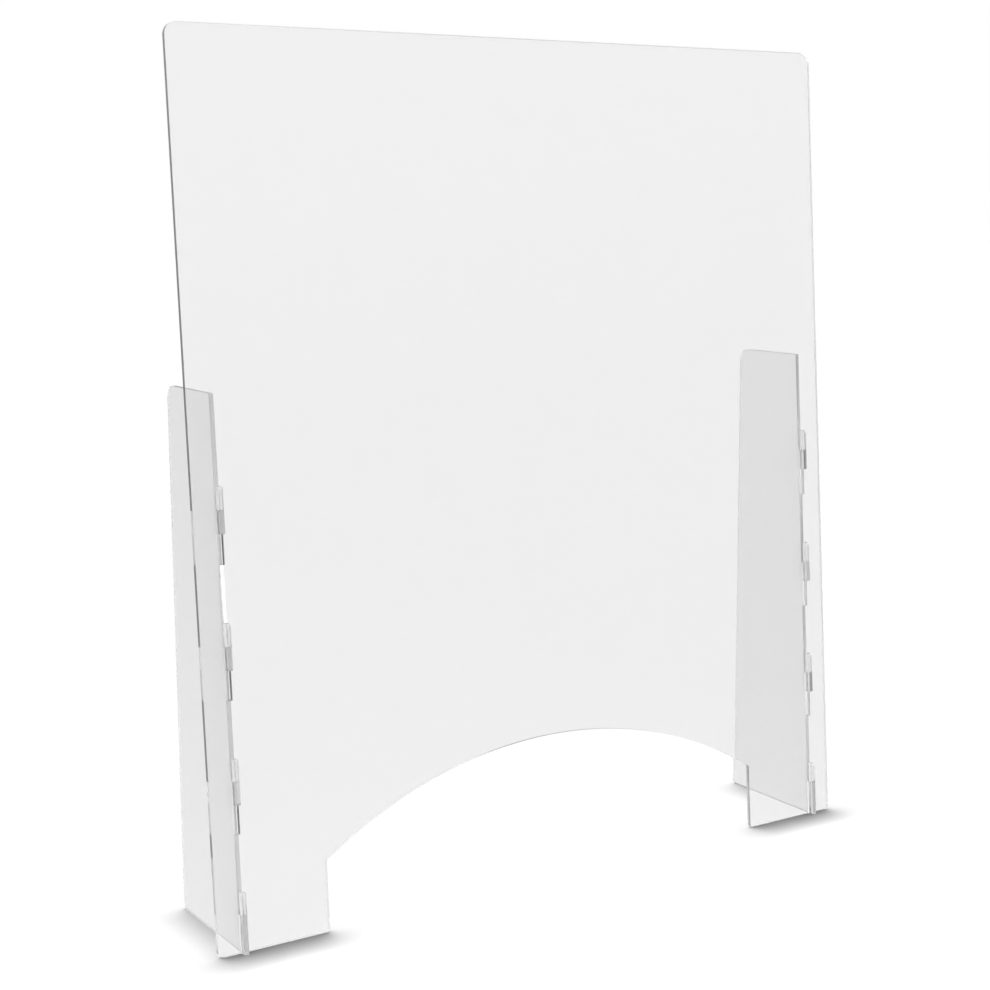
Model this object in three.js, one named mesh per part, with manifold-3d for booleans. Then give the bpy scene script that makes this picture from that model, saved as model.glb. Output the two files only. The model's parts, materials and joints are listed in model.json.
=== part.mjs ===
import * as THREE from "three";
import { mergeVertices } from "three/addons/utils/BufferGeometryUtils.js";
import Module from "manifold-3d";

// Lengths are millimetres and angles degrees. X runs to the right as seen from the front,
// Y to the back and Z up. The desk is the plane Z = 0, and X = 0 and Y = 0 are the middle of
// the footprint. The side views below count Y from the front foot of the panel instead.

// Sheet that all three pieces are cut from.
const SHEET = 5;
const GAP = 0.3; // clearance wherever two pieces meet

// Shield panel, measured on the sheet itself.
const PANEL_WIDTH = 812.8;
const PANEL_HEIGHT = 914.4;
const PANEL_LEAN = 3.9; // tilt of the sheet from vertical, top to the back
const TOP_CORNER_R = 12.7;
const FOOT_CORNER_R = 6.35; // outer bottom corners
const OPENING_WIDTH = 563.8; // clear width between the feet
const OPENING_HEIGHT = 160; // crown of the arch
const ARCH_SPRING = 75.4; // where the arch leaves the feet
const OPENING_CORNER_R = 4; // at the desk, and where the arch leaves the feet

// Support fins, square to the panel and standing behind it.
const FIN_INSET = 25.4; // side edge of the panel to the outer face of a fin
const FIN_HEIGHT = 558.8;
const FIN_FOOT_DEPTH = 139.7; // along the desk, from the back of the panel
const FIN_TOP_R = 12.7;
const FIN_HEEL_R = 3;

// Hooks on the front edge of a fin, and the slots of the panel they pass through. The lowest
// hook stands on the desk, and its slot runs out at the panel's bottom edge.
const HOOK_COUNT = 4;
const HOOK_PITCH = 135.45;
const LOWEST_NECK_TOP = 39.2; // up the sheet from its bottom edge
const NECK_HEIGHT = 22.9;
const TIP_RISE = 23.8; // how far a tip stands above its neck
const TIP_REACH = 6.35; // front of a tip, from the front face of the panel
const TIP_R = 3;
const SLOT_HEIGHT = 54;

const CORNER_STEPS = 8; // facets in one rounded corner
const ARCH_STEPS = 64; // facets in the arch

const wasm = await Module();
wasm.setup();

const lean = THREE.MathUtils.degToRad(PANEL_LEAN);
const leanSin = Math.sin(lean);
const leanCos = Math.cos(lean);
const sheetRise = SHEET * leanSin; // puts the lowest edge of the leaning sheet on the desk
const finFront = SHEET + GAP;
const finMiddle = PANEL_WIDTH / 2 - FIN_INSET - SHEET / 2;
const slotHalf = SHEET / 2 + GAP;

// Side view of the leaning sheet: depth is from its front face, and up is along it.
function onSheet(depth, up) {
  const y = depth * leanCos + up * leanSin;
  const z = sheetRise + up * leanCos - depth * leanSin;
  return new THREE.Vector2(y, z);
}

// The same view's point at a depth, given its level above the desk.
function atLevel(depth, level) {
  const up = (level - sheetRise + depth * leanSin) / leanCos;
  return onSheet(depth, up);
}

// Front and back ends of a fin's foot.
const toe = atLevel(-TIP_REACH, 0).x;
const heel = atLevel(finFront, 0).x + FIN_FOOT_DEPTH;

function neckTop(hook) {
  return LOWEST_NECK_TOP + hook * HOOK_PITCH;
}

// One corner of an outline replaced by an arc of this radius.
function roundedCorner(before, at, after, radius) {
  const toBefore = before.clone().sub(at).normalize();
  const toAfter = after.clone().sub(at).normalize();
  const half = toBefore.angleTo(toAfter) / 2;
  const inward = toBefore.clone().add(toAfter).normalize();
  const centre = at.clone().addScaledVector(inward, radius / Math.sin(half));
  const spoke = at.clone().addScaledVector(toBefore, radius / Math.tan(half)).sub(centre);
  const sweep = Math.sign(toAfter.cross(toBefore)) * (Math.PI - 2 * half);
  const origin = new THREE.Vector2();
  const arc = [];
  for (let step = 0; step <= CORNER_STEPS; step += 1) {
    const turned = spoke.clone().rotateAround(origin, (sweep * step) / CORNER_STEPS);
    arc.push(turned.add(centre));
  }
  return arc;
}

// Closed outline of corners, each given as { at, radius } with the radius left out when sharp.
function outline(corners) {
  const count = corners.length;
  return corners.flatMap(({ at, radius }, i) => {
    if (!radius) return [at];
    const before = corners[(i + count - 1) % count].at;
    const after = corners[(i + 1) % count].at;
    return roundedCorner(before, at, after, radius);
  });
}

function corner(x, y, radius) {
  return { at: new THREE.Vector2(x, y), radius };
}

// Circular arch from the left foot to the right one.
function archCorners() {
  const half = OPENING_WIDTH / 2;
  const rise = OPENING_HEIGHT - ARCH_SPRING;
  const radius = (half * half + rise * rise) / (2 * rise);
  const reach = Math.asin(half / radius);
  const corners = [];
  for (let step = 0; step <= ARCH_STEPS; step += 1) {
    const angle = reach * ((2 * step) / ARCH_STEPS - 1);
    const up = OPENING_HEIGHT - radius * (1 - Math.cos(angle));
    const isEnd = step === 0 || step === ARCH_STEPS;
    corners.push(corner(radius * Math.sin(angle), up, isEnd ? OPENING_CORNER_R : 0));
  }
  return corners;
}

// Front view of the flat panel, without its slots.
function panelEdge() {
  const side = PANEL_WIDTH / 2;
  const inner = OPENING_WIDTH / 2;
  return outline([
    corner(-side, PANEL_HEIGHT, TOP_CORNER_R),
    corner(-side, 0, FOOT_CORNER_R),
    corner(-inner, 0, OPENING_CORNER_R),
    ...archCorners(),
    corner(inner, 0, OPENING_CORNER_R),
    corner(side, 0, FOOT_CORNER_R),
    corner(side, PANEL_HEIGHT, TOP_CORNER_R),
  ]);
}

// Side view of a fin, with Y across and Z up.
function finEdge() {
  const corners = [];
  const add = (at, radius) => corners.push({ at, radius });
  add(new THREE.Vector2(toe, 0));
  add(new THREE.Vector2(heel, 0), FIN_HEEL_R);
  add(new THREE.Vector2(heel, FIN_HEIGHT), FIN_TOP_R);
  add(atLevel(finFront, FIN_HEIGHT));
  for (let hook = HOOK_COUNT - 1; hook >= 0; hook -= 1) {
    const top = neckTop(hook);
    add(onSheet(finFront, top));
    add(onSheet(-GAP, top));
    add(onSheet(-GAP, top + TIP_RISE));
    add(onSheet(-TIP_REACH, top + TIP_RISE), TIP_R);
    if (hook > 0) {
      add(onSheet(-TIP_REACH, top - NECK_HEIGHT));
      add(onSheet(finFront, top - NECK_HEIGHT));
    }
  }
  return outline(corners);
}

// A closed geometry as a solid that can be cut.
function toSolid(geometry) {
  geometry.deleteAttribute("normal");
  geometry.deleteAttribute("uv");
  const merged = mergeVertices(geometry);
  const mesh = new wasm.Mesh({
    numProp: 3,
    vertProperties: merged.attributes.position.array,
    triVerts: new Uint32Array(merged.index.array),
  });
  return new wasm.Manifold(mesh);
}

function toGeometry(solid) {
  const { vertProperties, triVerts } = solid.getMesh();
  const geometry = new THREE.BufferGeometry();
  geometry.setAttribute("position", new THREE.BufferAttribute(vertProperties, 3));
  geometry.setIndex(new THREE.BufferAttribute(triVerts, 1));
  geometry.computeVertexNormals();
  return geometry;
}

// Flat sheet cut to this edge, its thickness running up from 0 on the third axis.
function sheet(edge) {
  return new THREE.ExtrudeGeometry(new THREE.Shape(edge), { depth: SHEET, bevelEnabled: false });
}

// The slot blocks are deeper than the sheet, so that they cut right through it.
function slottedPanel() {
  let panel = toSolid(sheet(panelEdge()));
  for (const side of [-1, 1]) {
    for (let hook = 0; hook < HOOK_COUNT; hook += 1) {
      const slot = new THREE.BoxGeometry(2 * slotHalf, SLOT_HEIGHT, 3 * SHEET);
      const middle = neckTop(hook) + GAP - SLOT_HEIGHT / 2;
      slot.translate(side * finMiddle, middle, SHEET / 2);
      panel = panel.subtract(toSolid(slot));
    }
  }
  return toGeometry(panel);
}

function piece(name, colour, geometry, place) {
  const material = new THREE.MeshStandardMaterial({
    name,
    color: colour,
    roughness: 0.05,
    transparent: true,
    opacity: 0.35,
  });
  const mesh = new THREE.Mesh(geometry, material);
  mesh.name = name;
  mesh.applyMatrix4(place);
  return mesh;
}

const right = new THREE.Vector3(1, 0, 0);
const back = new THREE.Vector3(0, 1, 0);
const upright = new THREE.Vector3(0, 0, 1);
const upSheet = new THREE.Vector3(0, leanSin, leanCos);
const outOfSheet = new THREE.Vector3(0, -leanCos, leanSin);

const rearEdge = onSheet(SHEET, 0);
const panelPlace = new THREE.Matrix4().makeBasis(right, upSheet, outOfSheet);
panelPlace.setPosition(0, rearEdge.x, rearEdge.y);

const group = new THREE.Group();
group.position.y = -(toe + heel) / 2;
group.add(piece("shield_panel", 0xf1f3f4, slottedPanel(), panelPlace));
for (const [name, side] of [["support_fin_left", -1], ["support_fin_right", 1]]) {
  const finPlace = new THREE.Matrix4().makeBasis(back, upright, right);
  finPlace.setPosition(side * finMiddle - SHEET / 2, 0, 0);
  group.add(piece(name, 0xe6eaec, sheet(finEdge()), finPlace));
}

export default group;
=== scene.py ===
"""A clear desk shield on a pale floor: one leaning panel hung on the hooks of two upright fins."""

import json
import math

import bmesh
import bpy
from mathutils import Euler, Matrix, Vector

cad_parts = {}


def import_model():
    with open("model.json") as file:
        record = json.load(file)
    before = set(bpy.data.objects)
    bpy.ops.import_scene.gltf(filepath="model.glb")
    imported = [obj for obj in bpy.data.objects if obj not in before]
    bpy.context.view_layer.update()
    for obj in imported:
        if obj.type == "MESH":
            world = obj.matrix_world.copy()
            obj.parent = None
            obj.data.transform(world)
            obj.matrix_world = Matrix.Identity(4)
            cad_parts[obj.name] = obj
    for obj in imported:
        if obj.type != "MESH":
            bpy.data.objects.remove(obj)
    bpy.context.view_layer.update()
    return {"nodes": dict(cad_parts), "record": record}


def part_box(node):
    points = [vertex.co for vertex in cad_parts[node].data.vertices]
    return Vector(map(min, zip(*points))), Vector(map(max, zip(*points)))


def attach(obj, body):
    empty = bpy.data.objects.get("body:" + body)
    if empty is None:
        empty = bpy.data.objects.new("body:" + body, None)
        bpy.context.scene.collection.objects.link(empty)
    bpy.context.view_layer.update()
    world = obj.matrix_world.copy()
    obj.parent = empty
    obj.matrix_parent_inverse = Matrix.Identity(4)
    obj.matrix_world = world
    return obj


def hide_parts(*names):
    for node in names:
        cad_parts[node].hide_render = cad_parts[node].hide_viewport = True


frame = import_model()

# Lengths are metres and angles degrees, in the frame's own axes: X right, Y back, Z up.

# Building a visible sheet from its CAD solid.
WELD = 1e-6  # corners closer than this are one
COPLANAR = 0.05  # faces closer in angle than this are one flat face
CREASE = 30  # an edge that turns more than this is a corner of the sheet
SMOOTH = 12  # facets of a round that turn less than this shade as one surface
FLAT_MATCH = 0.999  # a face whose normal agrees this well with the sheet's is one of its flat sides
CHAMFER = 0.0004  # broken edge along every corner
CHAMFER_SEGMENTS = 2
CHAMFER_ROUND = 0.5  # how far the broken edge bulges: 0.5 is an arc

# Clear acrylic. A ray that was mirrored on its way, as in a sheet that guides it, skips tint and haze.
IOR = 1.49
ABSORPTION = 3.5  # absorption coefficient inside a sheet, per metre
PANEL_TINT = 0.917  # light left to a straight view through one sheet
FIN_TINT = 0.98
EDGE_TINT = 0.97
FACE_CLARITY = 0.835  # share of a surface that is clear, the rest being haze
PANEL_EDGE_CLARITY = 0.8
FIN_EDGE_CLARITY = 0.92

# Marks on the acrylic, each as a noise. A band is the stretch of noise over which a mark comes in.
WAVE_PITCH = 0.09  # slow waviness of the faces
WAVE_OCTAVES = 2
WAVE_DEPTH = 0.00002
HANDLED_BAND = (0.45, 0.7)  # waves this strong are where a face was handled
SCUFF_PITCH = 0.004  # fine haze where it was
SCUFF_OCTAVES = 6
SCUFF_BAND = (0.0, 0.6)
FACE_HAZE = 0.012  # roughness where a face is least clean
TOOL_PITCH = 0.0006  # tool marks that run across a cut edge
TOOL_OCTAVES = 3
TOOL_DEPTH = 0.000008
TOOL_BAND = (0.1, 0.6)
STRETCH_PITCH = WAVE_PITCH / 4  # stretches of a cut edge that took the polish differently
STRETCH_OCTAVES = 1
STRETCH_BAND = (0.35, 0.65)
STRETCH_LEAST = 0.3  # share of the tool marks left in the best polished stretch
EDGE_ROUGHNESS = 0.04  # of a cut edge at its best polished
EDGE_HAZE = 0.1  # and at its least polished

# Studio, as brightness against the white of the backdrop. A direction's band is of its height, or of
# how squarely it points to the side named, both from -1 to 1.
BACKDROP = 1.0
KEY_SIDE = (0.30, -0.55, 0.78)  # where most of the light on the sheets comes from
KEY_BAND = (-0.2, 0.9)
KEY_LEVEL = 2.4
SHADE_LEVEL = 0.35  # light from the side away from the key
MIRROR_DOWN = 1.25  # what reflections see looking down
DOWN_BAND = (-0.45, -0.1)
MIRROR_LEVEL = 0.8  # what they see at the horizon
UP_BAND = (0.0, 0.2)
MIRROR_UP = 1.0  # what they see above it
FLAG_SIDE = (0.716, 0.692, 0.087)  # a dark card at the back right
FLAG_BAND = (0.88, 0.95)
FLAG_SHADE = 0.22
CARD_SIDE = (-0.300, 0.923, -0.242)  # a light grey card low at the back left
CARD_BAND = (0.94, 0.985)
CARD_SHADE = 0.79

# Floor: an even white glow, with a painted contact shadow.
FLOOR_LIGHT = 1.02
FLOOR_HALF = 20.0
CONTACT_SIDE = (0.0, 0.75, 0.66)  # a sheet on this side of a point darkens the floor there, as painted shadow
CONTACT_REACH = 0.042
CONTACT_POWER = 1.2
CONTACT_SAMPLES = 16

# Narrow light at the front right, mirrored by the panel as a white run along the left fin.
STRIP_PLACE = (0.616, -2.322, 0.12)
STRIP_WIDTH = 0.007
STRIP_LENGTH = 0.19
STRIP_LEAN = 0.03  # share of its rise by which it leans to the right
STRIP_LEVEL = 10.0
STRIP_SPREAD = 0.012  # sideways reach of its light, as a share of the distance

# Camera.
CAMERA_PLACE = (-1.1103, -1.6815, 0.7467)
CAMERA_AZIMUTH = -33.31
CAMERA_ELEVATION = 8.78
CAMERA_ROLL = -0.25
LENS = 67.0
SENSOR = 36.0
SHIFT_X = -0.0215
SHIFT_Y = -0.0140

# Light paths.
BOUNCED = 0.5  # a depth above this is one bounce or more
ALL_BOUNCES = 48
MIRROR_BOUNCES = 40
CLEAR_BOUNCES = 24

SQUARE = ((-1, -1), (1, -1), (1, 1), (-1, 1))  # corners of a plane, going round


def grey(level):
    return (level, level, level, 1)


def new_material(name):
    material = bpy.data.materials.new(name)
    material.use_nodes = True
    tree = material.node_tree
    tree.nodes.clear()
    return material, tree


def feed(tree, socket, value):
    """Link a socket to another node's output, or give it a fixed value."""
    if isinstance(value, bpy.types.NodeSocket):
        tree.links.new(value, socket)
    else:
        socket.default_value = value


def math_node(tree, operation, a, b=0.0):
    node = tree.nodes.new("ShaderNodeMath")
    node.operation = operation
    feed(tree, node.inputs[0], a)
    feed(tree, node.inputs[1], b)
    return node.outputs["Value"]


def vector_node(tree, operation, a, b):
    node = tree.nodes.new("ShaderNodeVectorMath")
    node.operation = operation
    feed(tree, node.inputs[0], a)
    feed(tree, node.inputs[1], b)
    return node


def mix_level(tree, share, low, high):
    """low where the share is 0, and high where it is 1."""
    node = tree.nodes.new("ShaderNodeMix")
    node.data_type = "FLOAT"
    factor, _, a, b = node.inputs[:4]
    feed(tree, factor, share)
    feed(tree, a, low)
    feed(tree, b, high)
    return node.outputs[0]


def ramp(tree, value, band, low, high):
    """low below the band, high above it, and a smooth run from one to the other inside it."""
    node = tree.nodes.new("ShaderNodeMapRange")
    node.interpolation_type = "SMOOTHSTEP"
    start, end = band
    feed(tree, node.inputs["Value"], value)
    feed(tree, node.inputs["From Min"], start)
    feed(tree, node.inputs["From Max"], end)
    feed(tree, node.inputs["To Min"], low)
    feed(tree, node.inputs["To Max"], high)
    return node.outputs["Result"]


def bounced(tree, kind):
    """1 for a ray that has already bounced in this way, and 0 for any other."""
    path = tree.nodes.new("ShaderNodeLightPath")
    return math_node(tree, "GREATER_THAN", path.outputs[kind + " Depth"], BOUNCED)


def dot(tree, vector, side):
    """How squarely a unit vector points to one side, from -1 to 1."""
    return vector_node(tree, "DOT_PRODUCT", vector, side).outputs["Value"]


def flattened(tree, place, side):
    """The place moved along side on to a plane, so that a noise there is drawn out along side."""
    along = vector_node(tree, "PROJECT", place, side).outputs["Vector"]
    return vector_node(tree, "SUBTRACT", place, along).outputs["Vector"]


def noise(tree, place, pitch, octaves):
    node = tree.nodes.new("ShaderNodeTexNoise")
    node.inputs["Scale"].default_value = 1 / pitch
    node.inputs["Detail"].default_value = octaves
    tree.links.new(place, node.inputs["Vector"])
    return node.outputs["Fac"]


def bump(tree, height, depth):
    node = tree.nodes.new("ShaderNodeBump")
    node.inputs["Distance"].default_value = depth
    tree.links.new(height, node.inputs["Height"])
    return node.outputs["Normal"]


def face_detail(tree, place, surface):
    """A sheet's face: slow waviness, and a patchy trace of haze from handling."""
    waves = noise(tree, place, WAVE_PITCH, WAVE_OCTAVES)
    scuffs = noise(tree, place, SCUFF_PITCH, SCUFF_OCTAVES)
    handled = ramp(tree, waves, HANDLED_BAND, 0.0, 1.0)
    worn = math_node(tree, "MULTIPLY", handled, scuffs)
    feed(tree, surface.inputs["Roughness"], ramp(tree, worn, SCUFF_BAND, 0.0, FACE_HAZE))
    feed(tree, surface.inputs["Normal"], bump(tree, waves, WAVE_DEPTH))


def edge_detail(tree, place, surface, across):
    """A cut edge: fine tool marks from face to face, polished more in some stretches than in others."""
    marks = noise(tree, flattened(tree, place, across), TOOL_PITCH, TOOL_OCTAVES)
    stretches = noise(tree, place, STRETCH_PITCH, STRETCH_OCTAVES)
    left = ramp(tree, stretches, STRETCH_BAND, STRETCH_LEAST, 1.0)
    dull = math_node(tree, "MULTIPLY", left, marks)
    feed(tree, surface.inputs["Roughness"], ramp(tree, dull, TOOL_BAND, EDGE_ROUGHNESS, EDGE_HAZE))
    feed(tree, surface.inputs["Normal"], bump(tree, marks, TOOL_DEPTH))


def acrylic(name, tint, clarity, across=None):
    """A sheet's face, or a cut edge that the direction across runs over from face to face."""
    material, tree = new_material(name)
    surface = tree.nodes.new("ShaderNodeBsdfPrincipled")
    surface.inputs["IOR"].default_value = IOR
    guided = bounced(tree, "Glossy")
    feed(tree, surface.inputs["Base Color"], mix_level(tree, guided, tint, 1.0))
    feed(tree, surface.inputs["Transmission Weight"], mix_level(tree, guided, clarity, 1.0))
    place = tree.nodes.new("ShaderNodeTexCoord").outputs["Object"]
    if across is None:
        face_detail(tree, place, surface)
    else:
        edge_detail(tree, place, surface, across)
    inside = tree.nodes.new("ShaderNodeVolumeAbsorption")
    inside.inputs["Color"].default_value = grey(0)
    inside.inputs["Density"].default_value = ABSORPTION
    output = tree.nodes.new("ShaderNodeOutputMaterial")
    tree.links.new(surface.outputs["BSDF"], output.inputs["Surface"])
    tree.links.new(inside.outputs["Volume"], output.inputs["Volume"])
    return material


def whole_solid(cad):
    """The CAD solid, with each of its flat faces in one piece."""
    bm = bmesh.new()
    bm.from_mesh(cad.data)
    bmesh.ops.remove_doubles(bm, verts=bm.verts, dist=WELD)
    angle = math.radians(COPLANAR)
    bmesh.ops.dissolve_limit(bm, angle_limit=angle, verts=bm.verts, edges=bm.edges)
    bm.normal_update()
    return bm


def break_edges(bm):
    """Chamfer every corner of the sheet."""
    sharp = [edge for edge in bm.edges if edge.calc_face_angle(0) > math.radians(CREASE)]
    bmesh.ops.bevel(
        bm,
        geom=sharp,
        offset=CHAMFER,
        offset_type="OFFSET",
        segments=CHAMFER_SEGMENTS,
        profile=CHAMFER_ROUND,
        affect="EDGES",
        clamp_overlap=True,
    )
    bm.normal_update()


def sheet_mesh(node):
    """The visible sheet for a CAD node, and the direction that its flat sides face."""
    bm = whole_solid(frame["nodes"][node])
    flat = max(bm.faces, key=lambda face: face.calc_area()).normal.copy()
    break_edges(bm)
    for face in bm.faces:
        is_flat = abs(face.normal.dot(flat)) > FLAT_MATCH
        face.material_index = 0 if is_flat else 1
        face.smooth = not is_flat
    mesh = bpy.data.meshes.new(node + "_sheet")
    bm.to_mesh(mesh)
    bm.free()
    mesh.attributes.remove(mesh.attributes["custom_normal"])
    mesh.set_sharp_from_angle(angle=math.radians(SMOOTH))
    return mesh, flat


def sheet_piece(node, body):
    """The piece that stands for a CAD node: its sheet, with one material on faces and one on edges."""
    mesh, flat = sheet_mesh(node)
    tint = PANEL_TINT if body == "panel" else FIN_TINT
    edge_clarity = PANEL_EDGE_CLARITY if body == "panel" else FIN_EDGE_CLARITY
    mesh.materials.append(acrylic(node + "_face", tint, FACE_CLARITY))
    mesh.materials.append(acrylic(node + "_edge", EDGE_TINT, edge_clarity, flat))
    piece = bpy.data.objects.new(node + "_sheet", mesh)
    bpy.context.scene.collection.objects.link(piece)
    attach(piece, body)
    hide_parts(node)


def staged_plane(name, corners, material):
    """A flat part of the studio, which rays scattered by haze pass through."""
    mesh = bpy.data.meshes.new(name)
    mesh.from_pydata(corners, [], [(0, 1, 2, 3)])
    mesh.materials.append(material)
    plane = bpy.data.objects.new(name, mesh)
    plane.visible_diffuse = False
    bpy.context.scene.collection.objects.link(plane)
    return plane


def floor_glow_and_painted_shadow():
    """White that glows evenly, with a painted soft shadow in front of whatever stands on it."""
    material, tree = new_material("pale_floor")
    side = tree.nodes.new("ShaderNodeCombineXYZ")
    for socket, value in zip(side.inputs, CONTACT_SIDE):
        socket.default_value = value
    # painted contact shadow: occlusion towards CONTACT_SIDE dims the floor's glow
    painted_contact_shadow = tree.nodes.new("ShaderNodeAmbientOcclusion")
    painted_contact_shadow.inputs["Distance"].default_value = CONTACT_REACH
    painted_contact_shadow.samples = CONTACT_SAMPLES
    tree.links.new(side.outputs["Vector"], painted_contact_shadow.inputs["Normal"])
    shade = math_node(tree, "POWER", painted_contact_shadow.outputs["AO"], CONTACT_POWER)
    lit = tree.nodes.new("ShaderNodeEmission")
    feed(tree, lit.inputs["Strength"], math_node(tree, "MULTIPLY", shade, FLOOR_LIGHT))
    output = tree.nodes.new("ShaderNodeOutputMaterial")
    tree.links.new(lit.outputs["Emission"], output.inputs["Surface"])
    return material


def floor():
    """The camera sees the floor directly; reflections and sheets show the studio in its place."""
    corners = [(x * FLOOR_HALF, y * FLOOR_HALF, 0) for x, y in SQUARE]
    plane = staged_plane("floor", corners, floor_glow_and_painted_shadow())
    plane.visible_glossy = False
    plane.visible_transmission = False


def gridded_light(name, sideways):
    """Light seen only in reflections, and only close to square with the sideways direction."""
    material, tree = new_material(name)
    incoming = tree.nodes.new("ShaderNodeNewGeometry").outputs["Incoming"]
    off = math_node(tree, "ABSOLUTE", dot(tree, incoming, sideways))
    within = math_node(tree, "LESS_THAN", off, STRIP_SPREAD)
    reached = math_node(tree, "MULTIPLY", bounced(tree, "Glossy"), within)
    nothing = tree.nodes.new("ShaderNodeBsdfTransparent")
    lit = tree.nodes.new("ShaderNodeEmission")
    lit.inputs["Strength"].default_value = STRIP_LEVEL
    shown = tree.nodes.new("ShaderNodeMixShader")
    tree.links.new(reached, shown.inputs[0])
    tree.links.new(nothing.outputs["BSDF"], shown.inputs[1])
    tree.links.new(lit.outputs["Emission"], shown.inputs[2])
    output = tree.nodes.new("ShaderNodeOutputMaterial")
    tree.links.new(shown.outputs["Shader"], output.inputs["Surface"])
    return material


def strip_light():
    """An upright light aimed at the left fin's front edge, and gridded to reach little else."""
    across, front, up = STRIP_PLACE
    fin_low, fin_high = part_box("support_fin_left")
    aim = Vector(((fin_low[0] + fin_high[0]) / 2 - across, fin_low[1] - front)).normalized()
    corners = []
    for side, rise in SQUARE:
        height = rise * STRIP_LENGTH / 2
        sideways = side * STRIP_WIDTH / 2 + height * STRIP_LEAN
        corners.append((across + sideways, front, up + height))
    strip = staged_plane("strip_light", corners, gridded_light("strip_light", (-aim.y, aim.x, 0)))
    strip.visible_camera = False
    strip.visible_shadow = False


def mirrored_studio(tree, direction):
    """What reflections see: brighter below than at the horizon, with two cards standing in it."""
    axes = tree.nodes.new("ShaderNodeSeparateXYZ")
    tree.links.new(direction, axes.inputs["Vector"])
    height = axes.outputs["Z"]
    below = ramp(tree, height, DOWN_BAND, MIRROR_DOWN, MIRROR_LEVEL)
    around = ramp(tree, height, UP_BAND, below, MIRROR_UP)
    flag = ramp(tree, dot(tree, direction, FLAG_SIDE), FLAG_BAND, 1.0, FLAG_SHADE)
    card = ramp(tree, dot(tree, direction, CARD_SIDE), CARD_BAND, 1.0, CARD_SHADE)
    cards = math_node(tree, "MULTIPLY", flag, card)
    return math_node(tree, "MULTIPLY", around, cards)


def world():
    """White to a straight view, the studio to a reflection, and the key light to a hazy surface."""
    studio = bpy.data.worlds.new("studio")
    bpy.context.scene.world = studio
    studio.use_nodes = True
    tree = studio.node_tree
    tree.nodes.clear()
    direction = tree.nodes.new("ShaderNodeTexCoord").outputs["Generated"]
    fill = ramp(tree, dot(tree, direction, KEY_SIDE), KEY_BAND, SHADE_LEVEL, KEY_LEVEL)
    seen = mix_level(tree, bounced(tree, "Glossy"), BACKDROP, mirrored_studio(tree, direction))
    light = tree.nodes.new("ShaderNodeBackground")
    light.inputs["Color"].default_value = grey(1)
    feed(tree, light.inputs["Strength"], mix_level(tree, bounced(tree, "Diffuse"), seen, fill))
    output = tree.nodes.new("ShaderNodeOutputWorld")
    tree.links.new(light.outputs["Background"], output.inputs["Surface"])


def camera():
    data = bpy.data.cameras.new("camera")
    data.sensor_width = SENSOR
    data.lens = LENS
    data.shift_x = SHIFT_X
    data.shift_y = SHIFT_Y
    pitch = math.radians(90 - CAMERA_ELEVATION)
    aim = Euler((pitch, 0, math.radians(CAMERA_AZIMUTH))).to_matrix()
    roll = Euler((0, 0, math.radians(CAMERA_ROLL))).to_matrix()
    view = bpy.data.objects.new("camera", data)
    view.location = CAMERA_PLACE
    view.rotation_euler = (aim @ roll).to_euler()
    bpy.context.scene.collection.objects.link(view)
    bpy.context.scene.camera = view


def render_settings():
    scene = bpy.context.scene
    scene.cycles.max_bounces = ALL_BOUNCES
    scene.cycles.glossy_bounces = MIRROR_BOUNCES
    scene.cycles.transmission_bounces = CLEAR_BOUNCES
    scene.view_settings.view_transform = "Standard"


for body, nodes in frame["record"]["behaviour"]["bodies"].items():
    for node in nodes:
        sheet_piece(node, body)
floor()
strip_light()
world()
camera()
render_settings()
